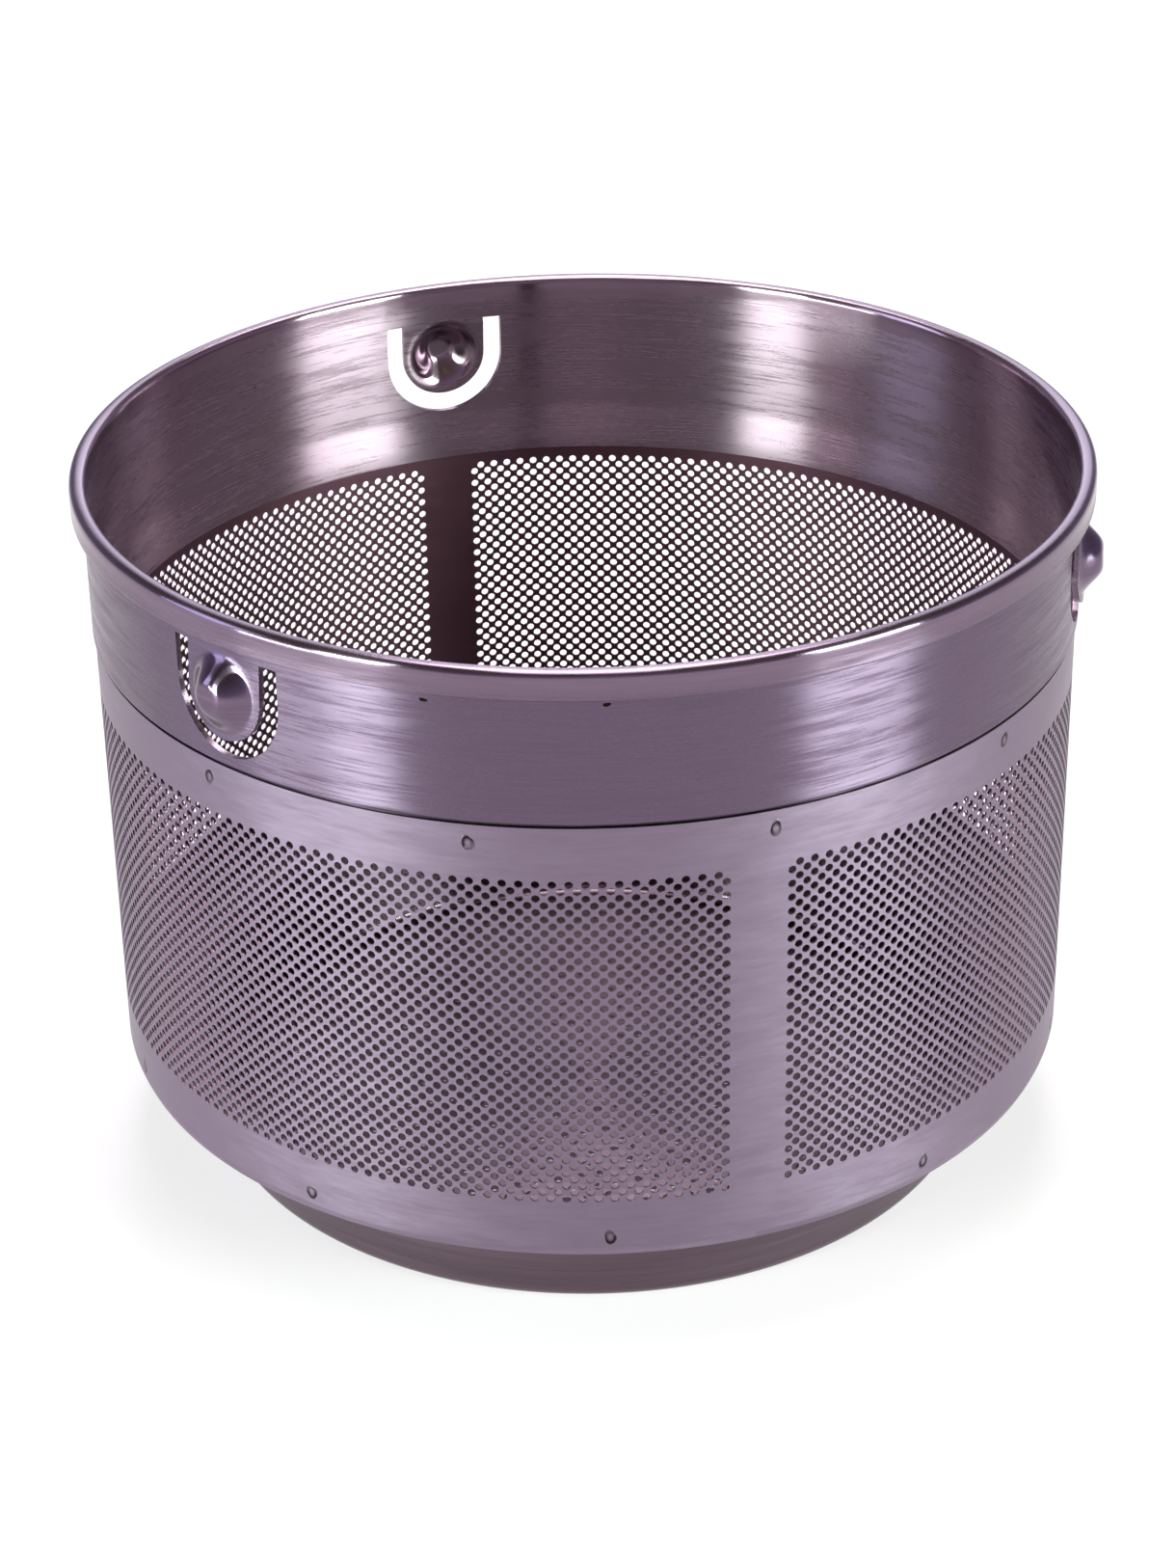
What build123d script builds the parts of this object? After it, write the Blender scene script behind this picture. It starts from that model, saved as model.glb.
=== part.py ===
from build123d import *
import os
from math import cos, degrees, hypot, radians, sin, sqrt

# Tea basket for the mouth of a kettle, in stainless sheet, spot welded from three pieces:
# a brushed rim ring with spring tabs, a rolled perforated screen and a drawn base dish.
# All sizes are in millimetres. The basket stands on its foot at Z = 0, with its axis on Z.

# Rim ring
rim_radius = 44.7
lip_reach = 1.0
lip_drop = 2.5
ring_sheet = 0.5
band_height = 11.2
joggle_rise = 0.5
skirt_length = 3.5

# Spring tabs in the ring: a round-ended tongue inside a U slot, leaning out, with a pressed boss
tab_count = 3
tab_first_angle = 90.0
tab_width = 8.2
tab_slot = 1.7
tab_root_land = 1.1
tab_slot_land = 0.8
tab_lean = 3.4
tab_thinning = 0.1
tab_root_lap = 0.2
boss_base_radius = 3.2
boss_top_radius = 1.9
boss_height = 2.1
boss_edge_round = 1.0

# Perforated screen: two panels of staggered holes between plain strips and plain bands
screen_sheet = 0.3
screen_height = 40.8
screen_drop = 0.2
seam_gap = 0.1
panel_count = 2
panel_first_angle = 0.0
plain_strip = 4.9
plain_band_top = 4.6
plain_band_bottom = 5.4
screen_hole = 7.2
screen_hole_sides = 6
screen_hole_rows = 5
screen_hole_columns = 11

# Base dish: wall inside the screen, ledge, tapered foot and perforated floor
dish_sheet = 0.5
dish_lap = 4.2
foot_height = 10.4
ledge_width = 6.0
foot_taper = 1.5
foot_round = 1.5
ledge_round = 1.5
throat_round = 1.0
floor_hole = 3.2
floor_hole_sides = 6
floor_hole_pitch = 7.0
floor_margin = 4.7

# Radii from the rim inwards, with the sheets lying face to face
ring_wall_radius = rim_radius - lip_reach
ring_bore_radius = ring_wall_radius - ring_sheet
skirt_radius = ring_bore_radius
screen_radius = skirt_radius + screen_sheet
foot_top_radius = skirt_radius - ledge_width
foot_bottom_radius = foot_top_radius - foot_taper
floor_hole_field = foot_bottom_radius - floor_margin

# Heights, from the ground up
screen_bottom = foot_height - screen_drop
dish_top = foot_height + dish_lap
screen_top = screen_bottom + screen_height
joggle_bottom = screen_top + seam_gap
ring_edge = joggle_bottom + joggle_rise
skirt_bottom = joggle_bottom - skirt_length
lip_bottom = ring_edge + band_height
lip_top = lip_bottom + lip_drop

# Lip, rolled over outwards: the radii of its bend, and the height where the bend starts
bend_outside = (lip_reach + ring_sheet) / 2
bend_inside = (lip_reach - ring_sheet) / 2
bend_bottom = lip_top - bend_outside

# Tab outline, measured from the centre of its round end
tab_radius = tab_width / 2
slot_radius = tab_radius + tab_slot
slot_top = lip_bottom - tab_root_land
tab_centre_height = ring_edge + tab_slot_land + slot_radius
tab_straight = slot_top - tab_centre_height
tab_outside = ring_wall_radius - tab_thinning / 2
tab_sheet = ring_sheet - tab_thinning
tab_reach = boss_height + 2 * ring_sheet


def radial_plane(angle, height):
    """Plane touching the ring's wall, facing outwards, with its Y axis upright."""
    out = Vector(cos(radians(angle)), sin(radians(angle)), 0)
    origin = out * ring_wall_radius + Vector(0, 0, height)
    return Plane(origin=origin, x_dir=Vector(0, 0, 1).cross(out), z_dir=out)


def tongue(half_width, straight):
    """Flat tongue with a round lower end, drawn from the centre of that end."""
    with BuildSketch() as outline:
        with BuildLine():
            side = Line((-half_width, straight), (-half_width, 0))
            end = JernArc(side @ 1, (0, -1), half_width, 180)
            Polyline(end @ 1, (half_width, straight), side @ 0)
        make_face()
    return outline.sketch


# One spring tab, facing +X, made upright and then leaned out about its root
tab_face = radial_plane(0, tab_centre_height)

with BuildPart() as spring_tab:
    with BuildSketch(Plane.XY.offset(tab_centre_height - slot_radius)):
        Circle(tab_outside)
        Circle(tab_outside - tab_sheet, mode=Mode.SUBTRACT)
    extrude(amount=slot_radius + tab_straight + tab_root_lap)
    with BuildSketch(tab_face):
        add(tongue(tab_radius, tab_straight + tab_root_lap))
    extrude(amount=tab_reach, both=True, mode=Mode.INTERSECT)
    with Locations(tab_face.offset(-ring_sheet / 2)):
        Cone(
            boss_base_radius,
            boss_top_radius,
            boss_height + ring_sheet / 2,
            align=(Align.CENTER, Align.CENTER, Align.MIN),
        )
    fillet(spring_tab.edges().filter_by(GeomType.CIRCLE).sort_by(Axis.X)[-1], radius=boss_edge_round)
    with Locations(tab_face.offset(-2 * ring_sheet)):
        Cone(
            boss_base_radius - tab_sheet,
            boss_top_radius - tab_sheet,
            boss_height + 2 * ring_sheet - tab_sheet,
            align=(Align.CENTER, Align.CENTER, Align.MIN),
            mode=Mode.SUBTRACT,
        )

tab_root = Axis((ring_wall_radius - ring_sheet / 2, 0, slot_top), (0, 1, 0))
leaning_tab = spring_tab.part.rotate(tab_root, -tab_lean)

# Rim ring: skirt, joggle, wall and rolled lip in one section, then the tab windows and the tabs
with BuildPart() as rim_ring:
    with BuildSketch(Plane.XZ):
        with BuildLine():
            outside = Polyline(
                (skirt_radius, skirt_bottom),
                (skirt_radius, joggle_bottom),
                (ring_wall_radius, ring_edge),
                (ring_wall_radius, bend_bottom),
            )
            under_lip = JernArc(outside @ 1, (0, 1), bend_inside, -180)
            turned_down = Line(under_lip @ 1, (rim_radius - ring_sheet, lip_bottom + ring_sheet / 2))
            lip_edge = JernArc(turned_down @ 1, (0, -1), ring_sheet / 2, 180)
            lip_outside = Line(lip_edge @ 1, (rim_radius, bend_bottom))
            over_lip = JernArc(lip_outside @ 1, (0, 1), bend_outside, 180)
            Polyline(
                over_lip @ 1,
                (ring_bore_radius, ring_edge + ring_sheet / 2),
                (skirt_radius - ring_sheet, joggle_bottom + ring_sheet / 2),
                (skirt_radius - ring_sheet, skirt_bottom),
                outside @ 0,
            )
        make_face()
    revolve(axis=Axis.Z)
    tab_angles = [tab_first_angle + 360 / tab_count * number for number in range(tab_count)]
    with BuildSketch(*[radial_plane(angle, tab_centre_height) for angle in tab_angles]):
        add(tongue(slot_radius, tab_straight))
    extrude(amount=tab_reach, both=True, mode=Mode.SUBTRACT)
    with PolarLocations(0, tab_count, start_angle=tab_first_angle):
        add(leaning_tab)

rim_ring.part.label = "rim_ring"

# Perforated screen: the rolled sheet, then staggered rows of holes in each panel
panel_angle = 360 / panel_count - degrees((plain_strip + screen_hole) / screen_radius)
column_angle = panel_angle / (screen_hole_columns - 1)
row_rise = (screen_height - plain_band_top - plain_band_bottom - screen_hole) / (screen_hole_rows - 1)
first_row = screen_bottom + plain_band_bottom + screen_hole / 2

screen_places = []
for panel in range(panel_count):
    panel_start = panel_first_angle + 360 / panel_count * panel - panel_angle / 2
    for row in range(screen_hole_rows):
        shift = row % 2
        for column in range(screen_hole_columns - shift):
            angle = panel_start + column_angle * (column + shift / 2)
            screen_places.append(radial_plane(angle, first_row + row_rise * row))

with BuildPart() as filter_screen:
    with BuildSketch(Plane.XY.offset(screen_bottom)):
        Circle(screen_radius)
        Circle(skirt_radius, mode=Mode.SUBTRACT)
    extrude(amount=screen_height)
    with BuildSketch(*screen_places):
        RegularPolygon(screen_hole / 2, screen_hole_sides)
    extrude(amount=screen_hole, both=True, mode=Mode.SUBTRACT)

filter_screen.part.label = "filter_screen"

# Base dish: the outside as a turned blank, rounded, shelled from its open top, then the floor pierced
with BuildPart() as base_dish:
    with BuildSketch(Plane.XZ):
        with BuildLine():
            Polyline(
                (0, 0),
                (foot_bottom_radius, 0),
                (foot_top_radius, foot_height),
                (skirt_radius, foot_height),
                (skirt_radius, dish_top),
                (0, dish_top),
                close=True,
            )
        make_face()
    revolve(axis=Axis.Z)
    rims = base_dish.edges().filter_by(GeomType.CIRCLE)
    foot_edge = rims.group_by(Axis.Z)[0]
    throat_edge, ledge_edge = rims.group_by(Axis.Z)[1].sort_by(SortBy.RADIUS)
    fillet(foot_edge, radius=foot_round)
    fillet(throat_edge, radius=throat_round)
    fillet(ledge_edge, radius=ledge_round)
    mouth = base_dish.faces().sort_by(Axis.Z)[-1]
    offset(amount=-dish_sheet, openings=mouth)

    row_depth = floor_hole_pitch * sqrt(3) / 2
    reach = int(floor_hole_field / row_depth) + 1
    floor_places = []
    for row in range(-reach, reach + 1):
        for column in range(-2 * reach, 2 * reach + 1):
            across = (column + (row % 2) / 2 + 1 / 2) * floor_hole_pitch
            along = (row + 1 / 3) * row_depth
            if hypot(across, along) + floor_hole / 2 < floor_hole_field:
                floor_places.append((across, along))
    with BuildSketch(Plane.XY):
        with Locations(*floor_places):
            RegularPolygon(floor_hole / 2, floor_hole_sides)
    extrude(amount=2 * dish_sheet, both=True, mode=Mode.SUBTRACT)

base_dish.part.label = "base_dish"

os.makedirs("parts", exist_ok=True)
export_step(rim_ring.part, "parts/rim_ring.step")
export_step(filter_screen.part, "parts/filter_screen.step")
export_step(base_dish.part, "parts/base_dish.step")
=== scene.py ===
from math import pi, radians

import bpy
import numpy as np
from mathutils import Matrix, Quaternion, Vector
from mathutils.geometry import delaunay_2d_cdt


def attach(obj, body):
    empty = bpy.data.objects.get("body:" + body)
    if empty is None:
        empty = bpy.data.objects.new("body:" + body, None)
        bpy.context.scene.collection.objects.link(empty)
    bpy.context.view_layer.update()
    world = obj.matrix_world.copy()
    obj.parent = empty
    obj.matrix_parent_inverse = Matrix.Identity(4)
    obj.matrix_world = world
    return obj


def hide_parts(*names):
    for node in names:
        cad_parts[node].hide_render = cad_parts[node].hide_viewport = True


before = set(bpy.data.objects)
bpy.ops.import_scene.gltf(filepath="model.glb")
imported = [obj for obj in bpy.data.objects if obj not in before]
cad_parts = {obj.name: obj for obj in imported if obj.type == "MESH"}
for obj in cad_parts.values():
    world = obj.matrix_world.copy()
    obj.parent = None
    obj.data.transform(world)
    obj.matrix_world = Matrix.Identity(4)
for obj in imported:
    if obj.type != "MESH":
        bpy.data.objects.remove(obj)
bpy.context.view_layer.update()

# A tea basket in stainless sheet: a brushed rim ring with spring tabs, a rolled perforated screen and a
# drawn base dish with a pierced floor. Shapes are worked out in millimetres, in the part's frame.
MM = 0.001

# Rim ring: the lip's section is half round at a power of 1, and flatter on top below that
ring_wall = 43.7
ring_sheet = 0.5
skirt_low = 47.6
joggle_low = 51.1
joggle_round = 0.2
ring_edge = 51.6
lip_low = 62.8
lip_high = 65.3
rim_radius = 44.7
lip_power = 0.7
lip_edge_turn = 84.0

# Inside the ring, a smooth slope leads from just above the skirt's edge to just above the step
slope_start = 0.9
slope_end = 0.1
slope_left = 0.02
slope_rounds = (9.0, 6.0)

# Spring tabs, each in a U slot inside a window that the wall's grid leaves open
tab_angles = (90.0, 210.0, 330.0)
tab_half = 4.1
slot_half = 5.8
window_half = 8.0
window_low = 52.0
slot_top = 61.7
tab_centre = 58.2
tab_lean = 3.4
bend_depth = 0.9
boss_base = 3.7
boss_flat = 0.9
boss_height = 1.75
boss_sheet = 0.4
boss_middle = 0.3

# Points along each part of the ring's grid
wall_points, tab_side_points, tab_end_points, boss_points = 11, 7, 33, 18
band_points, window_points, root_points, frame_points = 51, 25, 15, 5
roll_points, lip_edge_points = 25, 6

# Where the ring is rubbed smooth, how far its inner face is painted lighter as painted light inside the ring,
# and the widths that these fade over
rubbed_fade = 0.6
lip_rubbed = 0.75
lip_rubbed_low = 63.8
inner_painted_light = 0.7
lip_dimmed = 0.8
lip_fade = 0.9

# Perforated screen: the real sheet is 0.3 mm, and is drawn thinner so that its holes stay open at a slant
screen_outer = 43.5
screen_sheet = 0.18
screen_low = 10.2
screen_high = 51.1
hole_radius = 0.37
hole_rows = 48
hole_columns = 99
first_row = 16.0
last_row = 46.0
panel_reach = 65.52
edge_curl = 0.25
curl_height = 0.9
field_margin = 0.15
low_band_row = 1.5
hole_sides = 8
strip_points, top_band_points, curl_points = 6, 5, 7

# Base dish
dish_outer = 43.2
dish_sheet = 0.5
dish_high = 14.6
foot_height = 10.4
foot_low_radius = 35.7
foot_high_radius = 37.2
foot_round, throat_round, ledge_round = 1.5, 1.0, 1.5
floor_flat = 33.0
floor_field = 31.2
floor_pitch = 2.0
floor_hole = 0.43
floor_hole_sides = 12
floor_turn = -6.0
floor_batches = 40
dish_columns = 240
dish_round_points = 11

# Where the corner inside the dish is rubbed smooth
corner_rubbed = 0.8
corner_high = 2.6
corner_fade = 0.8

# Spot welds: angles round the basket in degrees, heights and sizes
top_welds = 206.3 + 32.73 * np.arange(11)
bottom_welds = np.array([218.0, 253.4, 292.5, 327.0, 4.5, 40.0, 76.5, 111.0, 148.0, 183.0])
weld_turns = np.concatenate([top_welds, bottom_welds])
weld_heights = np.repeat([49.45, 12.1], [len(top_welds), len(bottom_welds)])
weld_width = 1.15
weld_length = 1.55

# Scorch of a weld, by shares of its half size: a ring, darker to one side
burn_out = 0.7
burn_width = 0.32
burn_lean = 0.6
burn_skew = 0.6
burn_least = 0.25

# Two dark specks on the ring: angles, heights and sizes
speck_turns = np.array([253.8, 234.9])
speck_heights = np.array([62.1, 61.85])
speck_width = 0.7
speck_length = 0.36

# Shape of a mark: its rings, their heights, and how its outline waves in two lobes and in three
mark_rings = np.array([0.12, 0.4, 0.6, 0.75, 0.9, 1.0])
mark_lift = np.array([0.004, 0.004, 0.008, 0.016, 0.01, -0.02])
mark_spokes = 17
two_lobes, three_lobes = 0.13, 0.09
two_lobes_turn, three_lobes_turn = 2.4, 1.7


# Shapes


def smooth_step(value):
    """Rises from 0 to 1 as value goes from 0 to 1, level at both ends: 3v squared less 2v cubed."""
    value = np.clip(value, 0, 1)
    return value * value * (3 - 2 * value)


def grid_faces(rows, columns, start=0):
    """Quads of a grid whose points are stored row by row, each quad from its corner and the next row's."""
    row, column = np.meshgrid(np.arange(rows - 1), np.arange(columns - 1), indexing="ij")
    corner = (start + row * columns + column).ravel()
    return np.stack([corner, corner + 1, corner + columns + 1, corner + columns], axis=1)


def closed_sheet(outside, inside, groups):
    """Sheet metal: the outer skin, the inner skin turned over, and a strip along every edge that only one
    face has. Points that fall together on the outer skin are joined first."""
    _, first, number = np.unique(np.round(outside, 4), axis=0, return_index=True, return_inverse=True)
    outside, inside, number = outside[first], inside[first], number.ravel()
    groups = [number[group] for group in groups]
    count = len(outside)
    edges = [np.stack([group, np.roll(group, -1, axis=1)], axis=2).reshape(-1, 2) for group in groups]
    start, end = np.concatenate(edges).T
    free = ~np.isin(start * count + end, end * count + start)
    start, end = start[free], end[free]
    strip = np.stack([end, start, start + count, end + count], axis=1)
    turned_over = [group[:, ::-1] + count for group in groups]
    return np.concatenate([outside, inside]), [*groups, *turned_over, strip]


def only_used(points, faces):
    """The points that the faces use, and the faces renumbered to them."""
    used, number = np.unique(faces, return_inverse=True)
    return points[used], number.reshape(faces.shape)


def make_piece(name, points, groups, crease=35.0):
    """Mesh object from points in millimetres and groups of faces, smooth but for edges sharper than the
    crease."""
    corners = np.concatenate([group.ravel() for group in groups])
    sizes = np.concatenate([np.full(len(group), group.shape[1]) for group in groups])
    mesh = bpy.data.meshes.new(name)
    mesh.vertices.add(len(points))
    mesh.vertices.foreach_set("co", (points * MM).astype(np.float32).ravel())
    mesh.loops.add(len(corners))
    mesh.loops.foreach_set("vertex_index", corners.astype(np.int32))
    mesh.polygons.add(len(sizes))
    mesh.polygons.foreach_set("loop_start", (np.cumsum(sizes) - sizes).astype(np.int32))
    mesh.polygons.foreach_set("loop_total", sizes.astype(np.int32))
    mesh.update(calc_edges=True)
    mesh.validate()
    mesh.shade_smooth()
    mesh.set_sharp_from_angle(angle=radians(crease))
    piece = bpy.data.objects.new(name, mesh)
    bpy.context.scene.collection.objects.link(piece)
    return piece


def around(radius, angle, height):
    """Points at a radius and an angle in radians about the basket's axis."""
    return np.stack(np.broadcast_arrays(radius * np.cos(angle), radius * np.sin(angle), height), axis=-1)


def rounded_path(corners, rounds, steps=9):
    """Path through corner points, each inner corner turned into an arc that starts its radius times the
    tangent of half the turn before it. Returns the points, and the unit normals on the path's right-hand
    side."""
    corners = np.array(corners, float)
    straight = np.diff(corners, axis=0)
    straight /= np.linalg.norm(straight, axis=1, keepdims=True)
    right = np.stack([straight[:, 1], -straight[:, 0]], axis=1)
    points, normals = [corners[:1]], [right[:1]]
    for number, bend in enumerate(rounds):
        into, out = straight[number], straight[number + 1]
        turn = np.arctan2(into[0] * out[1] - into[1] * out[0], into @ out)
        side = np.sign(turn)
        start = corners[number + 1] - into * bend * np.tan(abs(turn) / 2)
        angle = np.linspace(0, turn, steps)[:, None]
        spoke = side * right[number]
        spoke = spoke * np.cos(angle) + np.array([-spoke[1], spoke[0]]) * np.sin(angle)
        points.append(start - side * bend * right[number] + bend * spoke)
        normals.append(side * spoke)
    return np.concatenate([*points, corners[-1:]]), np.concatenate([*normals, right[-1:]])


def patchwork(patches):
    """Pairs of grids of points, outer and inner skin, laid end to end: all outer points, all inner points,
    and the quads."""
    outside = np.concatenate([outer.reshape(-1, 3) for outer, _ in patches])
    inside = np.concatenate([inner.reshape(-1, 3) for _, inner in patches])
    sizes = [outer.shape[0] * outer.shape[1] for outer, _ in patches]
    starts = np.cumsum([0, *sizes[:-1]])
    faces = [grid_faces(*outer.shape[:2], start) for (outer, _), start in zip(patches, starts)]
    return outside, inside, np.concatenate(faces)


def turned(points, angle):
    """Points turned about the basket's axis by an angle in degrees."""
    cosine, sine = np.cos(radians(angle)), np.sin(radians(angle))
    across, away, up = points[..., 0], points[..., 1], points[..., 2]
    return np.stack([cosine * across - sine * away, sine * across + cosine * away, up], axis=-1)


# Rim ring


def ring_band(angle, outer_path, inner_path):
    """Band of sheet: a section's outer and inner points carried round the axis through the given angles."""
    outer = around(outer_path[:, :1], angle, outer_path[:, 1:])
    inner = around(inner_path[:, :1], angle, inner_path[:, 1:])
    return outer, inner


def window_sheet(across, up):
    """Wall of the ring by distance across from a tab's middle line: away from the axis by Pythagoras on each
    skin."""
    outer = np.stack(np.broadcast_arrays(np.sqrt(ring_wall**2 - across**2), across, up), axis=-1)
    bore = ring_wall - ring_sheet
    inner = np.stack(np.broadcast_arrays(np.sqrt(bore**2 - across**2), across, up), axis=-1)
    return outer, inner


def leaned(points):
    """Tab points swung outwards about the slot's top, the swing growing to its full angle in a short bend."""
    depth = slot_top - points[..., 2]
    swing = radians(tab_lean) * smooth_step(depth / bend_depth)
    proud = points[..., 0] - (ring_wall - ring_sheet / 2)
    away = ring_wall - ring_sheet / 2 + proud * np.cos(swing) + depth * np.sin(swing)
    up = slot_top - depth * np.cos(swing) + proud * np.sin(swing)
    return np.stack([away, points[..., 1], up], axis=-1)


def tab_patches(root):
    """One tab: rings from its outline in to the boss. The outline is the slot's top, two straight sides and a
    half circle. The boss is raised along the tab's own outward direction: level in the middle, then half a
    cosine wave down to its base."""
    side = np.linspace(slot_top, tab_centre, tab_side_points)[1:]
    swing = np.linspace(pi, 2 * pi, tab_end_points)[1:]
    side_across = np.full_like(side, tab_half)
    across = np.concatenate([root[::-1], -side_across, tab_half * np.cos(swing), side_across])
    end = tab_centre + tab_half * np.sin(swing)
    up = np.concatenate([np.full(len(root), slot_top), side, end, side[-2::-1], [slot_top]])
    heading = np.arctan2(up - tab_centre, across)
    out = np.linspace(boss_base, boss_middle, boss_points)
    wave = pi * np.clip((out - boss_flat) / (boss_base - boss_flat), 0, 1)
    slope = boss_height / 2 * pi / (boss_base - boss_flat) * np.sin(wave)
    profile = np.stack([out, boss_height / 2 * (1 + np.cos(wave))], axis=1)
    normal = np.stack([slope, np.ones_like(slope)], axis=1) / np.hypot(slope, 1)[:, None]
    back = profile - boss_sheet * normal
    share = np.linspace(0, 1, frame_points)[:-1, None]
    blend_across = (1 - share) * across + share * profile[0, 0] * np.cos(heading)
    blend_up = (1 - share) * up + share * (tab_centre + profile[0, 0] * np.sin(heading))
    flat = window_sheet(blend_across, blend_up)
    walls = (ring_wall, ring_wall - ring_sheet)
    skins = []
    for skin, wall, path, lift in zip(flat, walls, (profile, back), (0, boss_sheet)):
        boss_across = path[:, :1] * np.cos(heading)
        boss_up = tab_centre + path[:, :1] * np.sin(heading)
        away = np.sqrt(wall**2 - boss_across**2) + path[:, 1:] + lift
        boss = np.stack(np.broadcast_arrays(away, boss_across, boss_up), axis=-1)
        skins.append(leaned(np.concatenate([skin, boss])))
    return skins


def rim_ring():
    """The ring in three like sectors: skirt and step below, wall beside and around each slot, tab, and rolled
    lip above."""
    window_edge = np.degrees(np.arcsin(window_half / ring_wall))
    beside = np.radians(np.linspace(window_edge, 180 / len(tab_angles), band_points))
    under = np.linspace(-window_half, window_half, window_points)
    frame_across = np.linspace(-window_half, -slot_half, frame_points)
    root = np.linspace(-tab_half, tab_half, root_points)
    over = np.concatenate([frame_across, root, -frame_across[::-1]])
    low_angles = np.concatenate([-beside[::-1], np.arcsin(under[1:-1] / ring_wall), beside])
    high_angles = np.concatenate([-beside[::-1], np.arcsin(over[1:-1] / ring_wall), beside])

    skirt = ring_wall - ring_sheet
    low_outer, _ = rounded_path(
        [(skirt, skirt_low), (skirt, joggle_low), (ring_wall, ring_edge), (ring_wall, window_low)],
        [joggle_round, joggle_round],
    )
    low_inner, _ = rounded_path(
        [
            (skirt - ring_sheet, skirt_low),
            (skirt - ring_sheet, skirt_low + slope_start),
            (skirt - slope_left, ring_edge + slope_end),
            (skirt, window_low),
        ],
        slope_rounds,
    )
    bend_outside = (rim_radius - skirt) / 2
    bend_middle = skirt + bend_outside
    bend_low = lip_high - bend_outside
    roll = np.radians(np.linspace(180, 0, roll_points))
    edge = np.radians(np.linspace(0, lip_edge_turn, lip_edge_points))
    edge_round = ring_sheet / 2

    def rolled_over(wall, bend, side):
        """Section of one skin of the lip: up the wall, over outwards in the upper half of a superellipse,
        down, and half of the sheet's round edge."""
        out = np.sign(np.cos(roll)) * np.abs(np.cos(roll)) ** lip_power
        over = np.stack([bend_middle + bend * out, bend_low + bend * np.sin(roll) ** lip_power], axis=1)
        edge_out = rim_radius - edge_round + side * edge_round * np.cos(edge)
        end = np.stack([edge_out, lip_low + edge_round - edge_round * np.sin(edge)], axis=1)
        return np.concatenate([[(wall, slot_top), (wall, lip_low)], over, end])

    high_outer = rolled_over(ring_wall, bend_outside - ring_sheet, -1)
    high_inner = rolled_over(skirt, bend_outside, 1)
    levels = np.linspace(window_low, tab_centre, wall_points)
    levels = np.concatenate([levels, np.linspace(tab_centre, slot_top, tab_side_points)[1:]])
    wall_outer = np.stack([np.full_like(levels, ring_wall), levels], axis=1)
    wall_inner = np.stack([np.full_like(levels, skirt), levels], axis=1)

    window_side = np.full_like(levels, window_half)
    rim_across = np.concatenate([-window_side, under[1:-1], window_side])
    rim_up = np.concatenate([levels[::-1], np.full(len(under) - 2, window_low), levels])
    span = np.hypot(rim_across, rim_up - tab_centre)
    beside_tab = rim_up >= tab_centre
    slot_across = np.where(beside_tab, np.sign(rim_across) * slot_half, rim_across / span * slot_half)
    slot_up = np.where(beside_tab, rim_up, tab_centre + (rim_up - tab_centre) / span * slot_half)
    share = np.linspace(0, 1, frame_points)[:, None]
    surround = window_sheet(
        (1 - share) * rim_across + share * slot_across, (1 - share) * rim_up + share * slot_up
    )

    sector = [
        ring_band(low_angles, low_outer, low_inner),
        ring_band(-beside[::-1], wall_outer, wall_inner),
        ring_band(beside, wall_outer, wall_inner),
        ring_band(high_angles, high_outer, high_inner),
        surround,
        tab_patches(root),
    ]
    patches = [
        (turned(outer, angle), turned(inner, angle)) for angle in tab_angles for outer, inner in sector
    ]
    outside, inside, faces = patchwork(patches)
    tab_columns = sector[-1][0].shape[1]
    ends = np.cumsum([outer.shape[0] * outer.shape[1] for outer, _ in patches])
    ends = ends[len(sector) - 1 :: len(sector)]
    caps = ends[:, None] - tab_columns + np.arange(tab_columns - 1)
    return closed_sheet(outside, inside, [faces, caps])


def ring_polish(points):
    """How smooth the ring is rubbed at each point: fully on the bosses, less so on top of the lip."""
    turn = np.radians(tab_angles)
    across = points[:, 1:2] * np.cos(turn) - points[:, :1] * np.sin(turn)
    facing = points[:, :1] * np.cos(turn) + points[:, 1:2] * np.sin(turn)
    out = np.where(facing > 0, np.hypot(across, points[:, 2:] - tab_centre), boss_base).min(axis=1)
    boss = smooth_step((boss_base - out) / rubbed_fade)
    return boss + lip_rubbed * smooth_step((points[:, 2] - lip_rubbed_low) / rubbed_fade)


def inner_face_painted_light(points):
    """How far each point of the ring takes the painted light of its inner face, a lighter colour standing in
    for light inside the ring: the second half of the points, fading over the lip."""
    inner = np.repeat([0.0, inner_painted_light], len(points) // 2)
    over = smooth_step((np.hypot(points[:, 0], points[:, 1]) - (ring_wall - ring_sheet)) / lip_fade)
    return np.where(points[:, 2] > lip_low, inner * (1 - lip_dimmed * over), inner)


# Perforated screen


def screen_sheet_at(across, up):
    """Screen by distance round its outer face from a panel's middle, and height, with its lower edge curled
    in a little."""
    angle = across / screen_outer
    curl = edge_curl * smooth_step((screen_low + curl_height - up) / curl_height) ** 2
    return around(screen_outer - curl, angle, up), around(screen_outer - screen_sheet - curl, angle, up)


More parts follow.
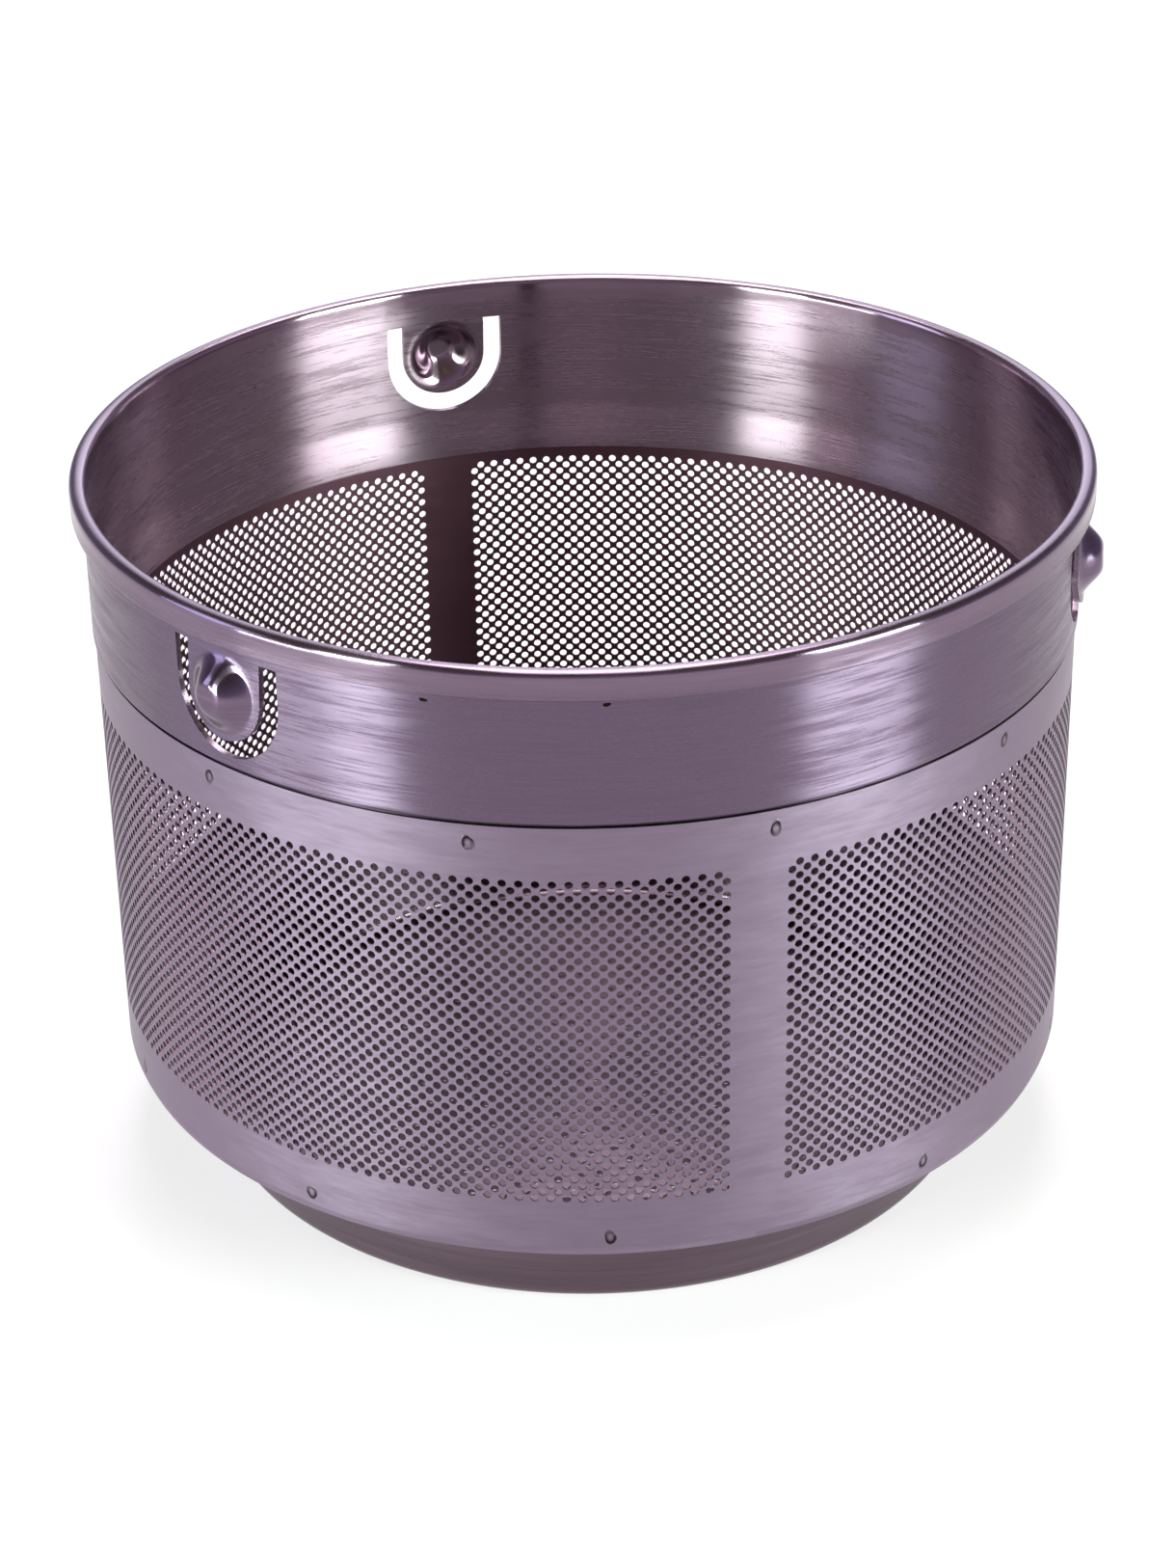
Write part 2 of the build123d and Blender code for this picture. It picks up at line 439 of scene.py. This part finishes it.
def screen_panel():
    """Half of the screen, from the middle of one plain strip to the middle of the next. Each hole is an
    eight-sided outline in a diamond cell, whose points are its four corners and the middles of its sides.
    The zigzag edges of the field are filled out to plain bands and strips."""
    half = panel_reach / (hole_columns - 1)
    step = (last_row - first_row) / (hole_rows - 1)
    row = np.repeat(np.arange(hole_rows), hole_columns)
    column = np.tile(np.arange(hole_columns), hole_rows)
    real = (row % 2 == 0) | (column < hole_columns - 1)
    row, column = row[real], column[real]
    centre_across = (2 * column + row % 2) * half - panel_reach
    centre_up = first_row + row * step
    number = np.arange(hole_sides)
    spoke = number * 2 * pi / hole_sides
    corner = np.where(number % 2 == 0, 1, 0.5 * 2**0.5)
    cell_across = centre_across[:, None] + half * corner * np.cos(spoke)
    cell_up = centre_up[:, None] + step * corner * np.sin(spoke)
    hole_across = centre_across[:, None] + hole_radius * np.cos(spoke)
    hole_up = centre_up[:, None] + hole_radius * np.sin(spoke)
    cells_outer, cells_inner = screen_sheet_at(
        np.concatenate([cell_across, hole_across], axis=1), np.concatenate([cell_up, hole_up], axis=1)
    )
    following = (number + 1) % hole_sides
    cell_faces = np.stack([number, following, following + hole_sides, number + hole_sides], axis=1)
    cell_faces = (np.arange(len(row))[:, None, None] * 2 * hole_sides + cell_faces).reshape(-1, 4)

    quarter = np.arange(2 * hole_rows - 1)
    field_up = first_row + quarter * step / 2
    zigzag = np.abs((quarter + 2) % 4 - 2) / 2 * half
    left = -panel_reach - half + zigzag
    top_across = np.arange(4 * (hole_columns - 1) + 1) * half / 2 - panel_reach
    top_wave = last_row + np.abs((np.arange(len(top_across)) + 2) % 4 - 2) / 2 * step
    low_across = np.arange(4 * hole_columns + 1) * half / 2 - panel_reach - half
    low_wave = first_row - np.abs((np.arange(len(low_across)) + 2) % 4 - 2) / 2 * step
    strip_edge = -panel_reach - half - field_margin
    field_low, field_high = first_row - step - field_margin, last_row + step + field_margin
    strip = np.linspace(-screen_outer * pi / 2, strip_edge, strip_points)
    strip_up = np.concatenate([[field_low], field_up, [field_high]])[:, None]
    top_line = np.concatenate([strip, top_across, -strip[::-1]])
    low_line = np.concatenate([strip, low_across, -strip[::-1]])
    top_levels = np.linspace(field_high, screen_high, top_band_points)[:, None]
    curl_levels = screen_low + curl_height * np.linspace(0, 1, curl_points)
    low_levels = np.concatenate([curl_levels, [field_low - low_band_row, field_low]])[:, None]
    edge_line = np.full_like(left, strip_edge)
    lay = [
        (np.stack([edge_line, left], axis=1), field_up[:, None]),
        (np.stack([-left, -edge_line], axis=1), field_up[:, None]),
        (top_across, np.stack([top_wave, np.full_like(top_wave, field_high)])),
        (low_across, np.stack([np.full_like(low_wave, field_low), low_wave])),
        (np.array([strip_edge, top_across[0]]), np.array([[last_row], [field_high]])),
        (np.array([top_across[-1], -strip_edge]), np.array([[last_row], [field_high]])),
        (np.array([strip_edge, low_across[0]]), np.array([[field_low], [first_row]])),
        (np.array([low_across[-1], -strip_edge]), np.array([[field_low], [first_row]])),
        (strip, strip_up),
        (-strip[::-1], strip_up),
        (top_line, top_levels),
        (low_line, low_levels),
    ]
    outside, inside, faces = patchwork(
        [screen_sheet_at(*np.broadcast_arrays(across, up)) for across, up in lay]
    )
    cells_outer, cells_inner = cells_outer.reshape(-1, 3), cells_inner.reshape(-1, 3)
    outside = np.concatenate([cells_outer, outside])
    inside = np.concatenate([cells_inner, inside])
    return outside, inside, np.concatenate([cell_faces, faces + len(cells_outer)])


# Base dish


def pierced_floor():
    """Flat floor: triangles between the outlines of holes on a triangular lattice and the circle round them,
    less the triangles whose middles lie inside a hole."""
    row_depth = floor_pitch * 3**0.5 / 2
    reach = int(floor_field / row_depth) + 1
    number = np.arange(-reach, reach + 1)
    column, row = np.meshgrid(number, number)
    across = ((column + row % 2 / 2 + 0.5) * floor_pitch).ravel()
    along = ((row + 1 / 3) * row_depth).ravel()
    inside_field = np.hypot(across, along) < floor_field
    centre = (across + 1j * along)[inside_field] * np.exp(1j * radians(floor_turn))
    outline = floor_hole * np.exp(2j * pi * np.arange(floor_hole_sides) / floor_hole_sides)
    circle = floor_flat * np.exp(2j * pi * np.arange(dish_columns) / dish_columns)
    flat = np.concatenate([(centre[:, None] + outline).ravel(), circle])
    corners = np.arange(centre.size * floor_hole_sides).reshape(-1, floor_hole_sides)
    edges = np.stack([corners, np.roll(corners, -1, axis=1)], axis=2).reshape(-1, 2)
    points, _, triangles, *_ = delaunay_2d_cdt(
        [Vector((p.real, p.imag)) for p in flat], edges.tolist(), [], 0, 1e-6
    )
    points = np.array([tuple(p) for p in points])
    triangles = np.array(triangles)
    middle = points[triangles].mean(axis=1) @ np.array([1, 1j])
    parts = np.array_split(middle, floor_batches)
    nearest = np.concatenate([np.abs(part[:, None] - centre).min(axis=1) for part in parts])
    triangles = triangles[nearest > floor_hole * np.cos(pi / floor_hole_sides)][:, ::-1]
    outside = np.column_stack([points, np.zeros(len(points))])
    inside = np.column_stack([points, np.full(len(points), dish_sheet)])
    return outside, inside, triangles


def base_dish():
    """The dish: wall, ledge, tapered foot and floor's edge as one section carried round the axis, and the
    pierced floor."""
    path, normal = rounded_path(
        [
            (floor_flat, 0),
            (foot_low_radius, 0),
            (foot_high_radius, foot_height),
            (dish_outer, foot_height),
            (dish_outer, dish_high),
        ],
        [foot_round, throat_round, ledge_round],
        dish_round_points,
    )
    angle = np.linspace(0, 2 * pi, dish_columns + 1)
    outer, inner = ring_band(angle, path, path - normal * dish_sheet)
    outside, inside, faces = patchwork([(outer, inner)])
    floor_outside, floor_inside, triangles = pierced_floor()
    return closed_sheet(
        np.concatenate([outside, floor_outside]),
        np.concatenate([inside, floor_inside]),
        [faces, triangles + len(outside)],
    )


def corner_polish(points):
    """How smooth the dish is rubbed at each point: most in the corner between its floor and its foot's wall,
    inside."""
    inner = np.repeat([0.0, corner_rubbed], len(points) // 2)
    corner = smooth_step((np.hypot(points[:, 0], points[:, 1]) - floor_flat) / corner_fade)
    return inner * corner * smooth_step((corner_high - points[:, 2]) / corner_fade)


# Weld marks and specks


def small_marks(turns, heights, face, width, length):
    """Marks on a round face, by their angles and heights. Each is a round grid whose outline is an ellipse
    that waves a little, and whose height is a low ring about a shallow middle, with its edge just under the
    face."""
    middle = np.radians(turns)[:, None, None]
    height = heights[:, None, None]
    number = np.arange(len(middle))[:, None, None]
    share = mark_rings[:, None]
    spoke = np.linspace(2 * pi, 0, mark_spokes)
    wave = 1 + two_lobes * np.sin(2 * spoke + two_lobes_turn * number)
    wave = wave + three_lobes * np.sin(3 * spoke + three_lobes_turn * number)
    across = width / 2 * share * wave * np.cos(spoke)
    up = length / 2 * share * wave * np.sin(spoke)
    outer = around(face + mark_lift[:, None], middle + across / face, height + up)
    inner = around(face - screen_sheet / 2, middle + across / face, height + up)
    outside, inside, faces = patchwork(list(zip(outer, inner)))
    caps = (number[:, 0] * share.size * spoke.size + np.arange(spoke.size - 1))[:, ::-1]
    return closed_sheet(outside, inside, [faces, caps])


def weld_burn(points):
    """How burnt the sheet is at each point: a bell curve about a ring part of the way out from the nearest
    weld's middle, falling off from the side that is nearer to the screen's edge."""
    turn = np.arctan2(points[:, 1:2], points[:, :1]) - np.radians(weld_turns)
    across = (np.mod(turn + pi, 2 * pi) - pi) * screen_outer / (weld_width / 2)
    up = (points[:, 2:] - weld_heights) / (weld_length / 2)
    near = np.hypot(across, up).argmin(axis=1)[:, None]
    across, up = (np.take_along_axis(part, near, axis=1)[:, 0] for part in (across, up))
    in_top_row = points[:, 2] > (screen_low + screen_high) / 2
    side = np.where(in_top_row, up - burn_skew * across, -up)
    burnt_ring = np.exp(-(((np.hypot(across, up) - burn_out) / burn_width) ** 2))
    return burnt_ring * np.clip(1 + burn_lean * side, burn_least, 1)


# Materials


def linear(code):
    """Linear colour of an sRGB hex code."""
    value = np.array([int(code[i : i + 2], 16) for i in (1, 3, 5)]) / 255
    value = np.where(value > 0.04045, ((value + 0.055) / 1.055) ** 2.4, value / 12.92)
    return (*value.tolist(), 1.0)


def add_node(tree, kind, inputs=None, **settings):
    """Adds a node with its settings, and gives each named input a value or a link."""
    node = tree.nodes.new(kind)
    for name, value in settings.items():
        setattr(node, name, value)
    for name, value in (inputs or {}).items():
        if isinstance(value, bpy.types.NodeSocket):
            tree.links.new(value, node.inputs[name])
        else:
            node.inputs[name].default_value = value
    return node


def new_material(name):
    """Empty material's node tree with its shader, linked to the output."""
    material = bpy.data.materials.new(name)
    material.use_nodes = True
    tree = material.node_tree
    tree.nodes.clear()
    shader = tree.nodes.new("ShaderNodeBsdfPrincipled")
    add_node(tree, "ShaderNodeOutputMaterial", {"Surface": shader.outputs[0]})
    return material, tree, shader


# Steel grain: the share of broad clouds in it, the noise levels that colour, roughness and ragged patches
# run between, and the roughness of a place that is rubbed smooth
cloud_share = 0.35
tone_levels = (0.3, 0.7)
rough_levels = (0.37, 0.63)
patch_levels = (0.2, 0.4)
rubbed_rough = 0.14


def sheet_steel(
    name, dark, light, grain_mm, streak_mm, rough, relief_mm, spread, second=None, patch_mm=None
):
    """Stainless sheet with a grain that is grain_mm high and streak_mm long round the axis. It varies the
    colour between dark and light, the roughness within its range, and the relief; spread stretches the
    highlights across the grain. A second colour, if given, covers it as far as the mesh's cover attribute
    says, in ragged patches if they have a size. The mesh's polish attribute takes the roughness and the
    relief down."""
    material, tree, shader = new_material(name)
    place = add_node(tree, "ShaderNodeTexCoord").outputs["Object"]
    along = 1 / (streak_mm * MM)
    up = 1 / (grain_mm * MM)
    fine = add_node(tree, "ShaderNodeMapping", {"Vector": place, "Scale": (along, along, up)})
    grain = add_node(
        tree,
        "ShaderNodeTexNoise",
        {"Vector": fine.outputs[0], "Scale": 1.0, "Detail": 4.0, "Roughness": 0.65},
    )
    broad = add_node(tree, "ShaderNodeMapping", {"Vector": place, "Scale": (along / 2, along / 2, up / 5)})
    cloud = add_node(tree, "ShaderNodeTexNoise", {"Vector": broad.outputs[0], "Scale": 1.0, "Detail": 2.0})
    both = add_node(
        tree,
        "ShaderNodeMix",
        {"Factor": cloud_share, "A": grain.outputs["Fac"], "B": cloud.outputs["Fac"]},
        data_type="FLOAT",
    ).outputs[0]
    tone = add_node(tree, "ShaderNodeValToRGB", {"Fac": both})
    for stop, level, code in zip(tone.color_ramp.elements, tone_levels, (dark, light)):
        stop.position = level
        stop.color = linear(code)
    colour = tone.outputs["Color"]
    if second:
        cover = add_node(tree, "ShaderNodeAttribute", attribute_name="cover").outputs["Fac"]
        if patch_mm:
            ragged = add_node(
                tree, "ShaderNodeTexNoise", {"Vector": place, "Scale": 1 / (patch_mm * MM), "Detail": 2.0}
            )
            patch = add_node(
                tree,
                "ShaderNodeMapRange",
                {"Value": ragged.outputs["Fac"], "From Min": patch_levels[0], "From Max": patch_levels[1]},
            )
            cover = add_node(
                tree, "ShaderNodeMath", {0: cover, 1: patch.outputs["Result"]}, operation="MULTIPLY"
            ).outputs[0]
        colour = add_node(
            tree, "ShaderNodeMix", {0: cover, 6: colour, 7: linear(second)}, data_type="RGBA"
        ).outputs[2]
    rubbed = add_node(tree, "ShaderNodeAttribute", attribute_name="polish").outputs["Fac"]
    unrubbed = add_node(tree, "ShaderNodeMath", {0: 1.0, 1: rubbed}, operation="SUBTRACT").outputs[0]
    relief = add_node(
        tree, "ShaderNodeBump", {"Height": both, "Strength": unrubbed, "Distance": relief_mm * MM}
    )
    roughness = add_node(
        tree,
        "ShaderNodeMapRange",
        {
            "Value": both,
            "From Min": rough_levels[0],
            "From Max": rough_levels[1],
            "To Min": rough[0],
            "To Max": rough[1],
        },
    ).outputs["Result"]
    roughness = add_node(
        tree, "ShaderNodeMix", {0: rubbed, 2: roughness, 3: rubbed_rough}, data_type="FLOAT"
    ).outputs[0]
    tangent = add_node(tree, "ShaderNodeTangent", direction_type="RADIAL", axis="Z")
    tree.links.new(colour, shader.inputs["Base Color"])
    tree.links.new(roughness, shader.inputs["Roughness"])
    tree.links.new(relief.outputs["Normal"], shader.inputs["Normal"])
    tree.links.new(tangent.outputs["Tangent"], shader.inputs["Tangent"])
    shader.inputs["Metallic"].default_value = 1.0
    shader.inputs["Anisotropic"].default_value = spread
    shader.inputs["Anisotropic Rotation"].default_value = 0.25
    return material


# Stainless sheet brushed round the ring: long fine scratches draw lights out into upright bands. They are
# drawn coarser than real ones, so that they show. Its inner face is painted lighter, as painted light inside
# the ring.
brushed_ring_steel = sheet_steel(
    "stainless_steel_brushed_round",
    dark="#605063",
    light="#766578",
    grain_mm=0.22,
    streak_mm=6.0,
    rough=(0.21, 0.37),
    relief_mm=0.007,
    spread=1.0,
    # The second colour is painted light: the inner face lighter, standing in for light inside the ring
    second="#A38C98",
)

# Stainless sheet as rolled, matt: a close even grain, so lights go soft and wide.
rolled_finish = {
    "dark": "#79697B",
    "light": "#857587",
    "grain_mm": 0.3,
    "streak_mm": 3.0,
    "rough": (0.38, 0.46),
    "relief_mm": 0.002,
    "spread": 0.6,
}

# The screen's sheet: as rolled, with its inner face painted darker and browner, as painted shade inside the
# basket.
rolled_screen_steel = sheet_steel("stainless_steel_rolled_matt", second="#644651", **rolled_finish)

# Stainless sheet drawn to a dish: satin, with faint rings from the press tool.
drawn_dish_steel = sheet_steel(
    "stainless_steel_drawn_satin",
    dark="#584952",
    light="#695862",
    grain_mm=0.5,
    streak_mm=20.0,
    rough=(0.26, 0.38),
    relief_mm=0.003,
    spread=0.6,
)

# The screen's sheet where a spot weld has scorched it: dark brown rings, ragged, round a paler middle.
scorched_steel = sheet_steel(
    "stainless_steel_rolled_scorched", second="#1C120E", patch_mm=0.6, **rolled_finish
)


# The basket's pieces


def dress(piece, node, material):
    """Puts a piece in the place of its CAD node, with its finish."""
    piece.data.materials.append(material)
    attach(piece, "root")
    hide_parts(node)


def mark(piece, name, value):
    """Keeps a number at each of a piece's points, for its material."""
    piece.data.attributes.new(name, "FLOAT", "POINT").data.foreach_set("value", value)


ring_points, ring_faces = rim_ring()
ring = make_piece("rim_ring_brushed", ring_points, ring_faces)
# The ring's inner face is painted lighter: painted light inside the ring
mark(ring, "cover", inner_face_painted_light(ring_points))
mark(ring, "polish", ring_polish(ring_points))
dress(ring, "rim_ring", brushed_ring_steel)
dish_points, dish_faces = base_dish()
dish = make_piece("base_dish_drawn", dish_points, dish_faces)
mark(dish, "polish", corner_polish(dish_points))
dress(dish, "base_dish", drawn_dish_steel)

# Each half of the screen is two pieces, left and right as seen from outside
panel_outside, panel_inside, panel_faces = screen_panel()
panel = np.concatenate([panel_outside, panel_inside], axis=1)
left_half = panel_outside[panel_faces].mean(axis=1)[:, 1] < 0
for name, angle, half in (
    ("screen_right_front", 0, left_half),
    ("screen_right_back", 0, ~left_half),
    ("screen_left_back", 180, left_half),
    ("screen_left_front", 180, ~left_half),
):
    sheet, faces = only_used(panel, panel_faces[half])
    outside, inside = turned(sheet[:, :3], angle), turned(sheet[:, 3:], angle)
    screen_points, screen_faces = closed_sheet(outside, inside, [faces])
    screen = make_piece(name, screen_points, screen_faces)
    # The screen's inner face takes the darker brown: painted shade inside the basket
    mark(screen, "cover", np.repeat([0.0, 1.0], len(screen_points) // 2))
    dress(screen, "filter_screen", rolled_screen_steel)

weld_points, weld_faces = small_marks(weld_turns, weld_heights, screen_outer, weld_width, weld_length)
welds = make_piece("screen_spot_welds", weld_points, weld_faces)
mark(welds, "cover", weld_burn(weld_points))
dress(welds, "filter_screen", scorched_steel)
speck_points, speck_faces = small_marks(speck_turns, speck_heights, ring_wall, speck_width, speck_length)
specks = make_piece("rim_ring_specks", speck_points, speck_faces)
mark(specks, "cover", np.ones(len(speck_points)))
dress(specks, "rim_ring", scorched_steel)


# Stage: pale board, soft lamps, room and camera

# Camera: bearing and rise in degrees, distance in metres, lens in millimetres, roll in radians
camera_bearing = -18.24
camera_rise = 28.09
camera_distance = 0.32442
camera_lens = 81.06
camera_roll = -0.0165
camera_aim = Vector((0, 0, 31.9)) * MM
lamp_aim = Vector((0, 0, 0.03))

# Board: a disc just under the basket's foot
board_radii = np.array([[1.0], [500.0], [3000.0]])
board_points_round = 65
board_drop = 0.02
board_grain_mm = 10 / 3
board_lift = 0.62


def from_camera_side(turn, rise, distance):
    """Place at a turn right of the camera's bearing, a rise above the board in degrees and a distance in
    metres."""
    bearing = radians(camera_bearing + turn)
    flat = np.cos(radians(rise))
    return Vector((np.sin(bearing) * flat, -np.cos(bearing) * flat, np.sin(radians(rise)))) * distance


def soft_lamp(name, turn, rise, distance, width, height, watts, colour):
    """Rectangular soft lamp that faces the basket."""
    lamp = bpy.data.lights.new(name, "AREA")
    lamp.shape = "RECTANGLE"
    lamp.size, lamp.size_y = width, height
    lamp.energy = watts
    lamp.color = linear(colour)[:3]
    holder = bpy.data.objects.new(name, lamp)
    holder.location = from_camera_side(turn, rise, distance) + lamp_aim
    holder.rotation_mode = "QUATERNION"
    holder.rotation_quaternion = (holder.location - lamp_aim).to_track_quat("Z", "Y")
    bpy.context.scene.collection.objects.link(holder)


# Lamps: turn and rise in degrees, distance, width and height in metres, watts, colour
for lamp in (
    ("lamp_left", -49, 16, 0.9, 0.24, 0.4, 9.8, "#EAFFF3"),
    ("lamp_left_low", -66, 4, 0.9, 0.28, 0.1, 3.0, "#EAFFF3"),
    ("lamp_far_left", -88, 22, 0.9, 0.3, 0.5, 1.8, "#D8E4FF"),
    ("lamp_right", 59.5, 16, 0.9, 0.38, 0.4, 14.0, "#EAFFF3"),
    ("lamp_behind", 178, 24, 1.1, 0.5, 0.3, 1.1, "#F0F8FF"),
    ("lamp_over_behind", 178, 56, 0.85, 0.3, 0.4, 4.4, "#FFFFFF"),
    ("lamp_overhead", 178, 84, 0.8, 0.26, 0.5, 2.4, "#FFFFFF"),
):
    soft_lamp(*lamp)

# Painted board, pale: takes the shadow, and is lifted towards white where it is looked at or mirrored.
board_paint, board_tree, board_shader = new_material("painted_board_pale")
board_place = add_node(board_tree, "ShaderNodeTexCoord").outputs["Object"]
board_grain = add_node(
    board_tree,
    "ShaderNodeTexNoise",
    {"Vector": board_place, "Scale": 1 / (board_grain_mm * MM), "Detail": 2.0},
)
board_tone = add_node(board_tree, "ShaderNodeValToRGB", {"Fac": board_grain.outputs["Fac"]})
for stop, code in zip(board_tone.color_ramp.elements, ("#FAEDF3", "#FDF1F7")):
    stop.color = linear(code)
board_tree.links.new(board_tone.outputs["Color"], board_shader.inputs["Base Color"])
board_shader.inputs["Roughness"].default_value = 0.8
seen_by = add_node(board_tree, "ShaderNodeLightPath").outputs
seen = add_node(
    board_tree,
    "ShaderNodeMath",
    {0: seen_by["Is Camera Ray"], 1: seen_by["Is Glossy Ray"]},
    operation="MAXIMUM",
)
lift = add_node(board_tree, "ShaderNodeMath", {0: seen.outputs[0], 1: board_lift}, operation="MULTIPLY")
glow = add_node(board_tree, "ShaderNodeEmission", {"Color": linear("#FFFFFF"), "Strength": 1.0})
lifted = add_node(
    board_tree,
    "ShaderNodeMixShader",
    {0: lift.outputs[0], 1: board_shader.outputs[0], 2: glow.outputs[0]},
)
board_output = next(node for node in board_tree.nodes if node.type == "OUTPUT_MATERIAL")
board_tree.links.new(lifted.outputs[0], board_output.inputs["Surface"])

board_turn = np.linspace(0, 2 * pi, board_points_round)[::-1]
board_points = around(board_radii, board_turn, -board_drop).reshape(-1, 3)
board_rings = grid_faces(len(board_radii), board_points_round)
board_middle = np.arange(board_points_round - 1)[None, ::-1]
board = make_piece("floor", board_points, [board_rings, board_middle])
board.data.materials.append(board_paint)

# Room: lavender at the level of the eye, warm grey overhead
world = bpy.data.worlds.new("soft_room")
bpy.context.scene.world = world
world.use_nodes = True
world_tree = world.node_tree
world_tree.nodes.clear()
heading = add_node(world_tree, "ShaderNodeTexCoord").outputs["Generated"]
upwards = add_node(world_tree, "ShaderNodeSeparateXYZ", {0: heading}).outputs["Z"]
sky = add_node(world_tree, "ShaderNodeValToRGB", {"Fac": upwards})
for stop, level, code in zip(sky.color_ramp.elements, (0.0, 0.7), ("#B0A8CA", "#7A7064")):
    stop.position = level
    stop.color = linear(code)
room = add_node(world_tree, "ShaderNodeBackground", {"Color": sky.outputs["Color"], "Strength": 1.0})
add_node(world_tree, "ShaderNodeOutputWorld", {"Surface": room.outputs[0]})

camera_data = bpy.data.cameras.new("camera")
camera_data.lens = camera_lens
camera_data.sensor_width = 36.0
camera_data.clip_start = 0.01
camera = bpy.data.objects.new("camera", camera_data)
camera.location = camera_aim + from_camera_side(0, camera_rise, camera_distance)
camera.rotation_mode = "QUATERNION"
level_view = (camera.location - camera_aim).to_track_quat("Z", "Y")
camera.rotation_quaternion = level_view @ Quaternion((0, 0, 1), camera_roll)
bpy.context.scene.collection.objects.link(camera)
bpy.context.scene.camera = camera
bpy.context.scene.view_settings.view_transform = "Standard"
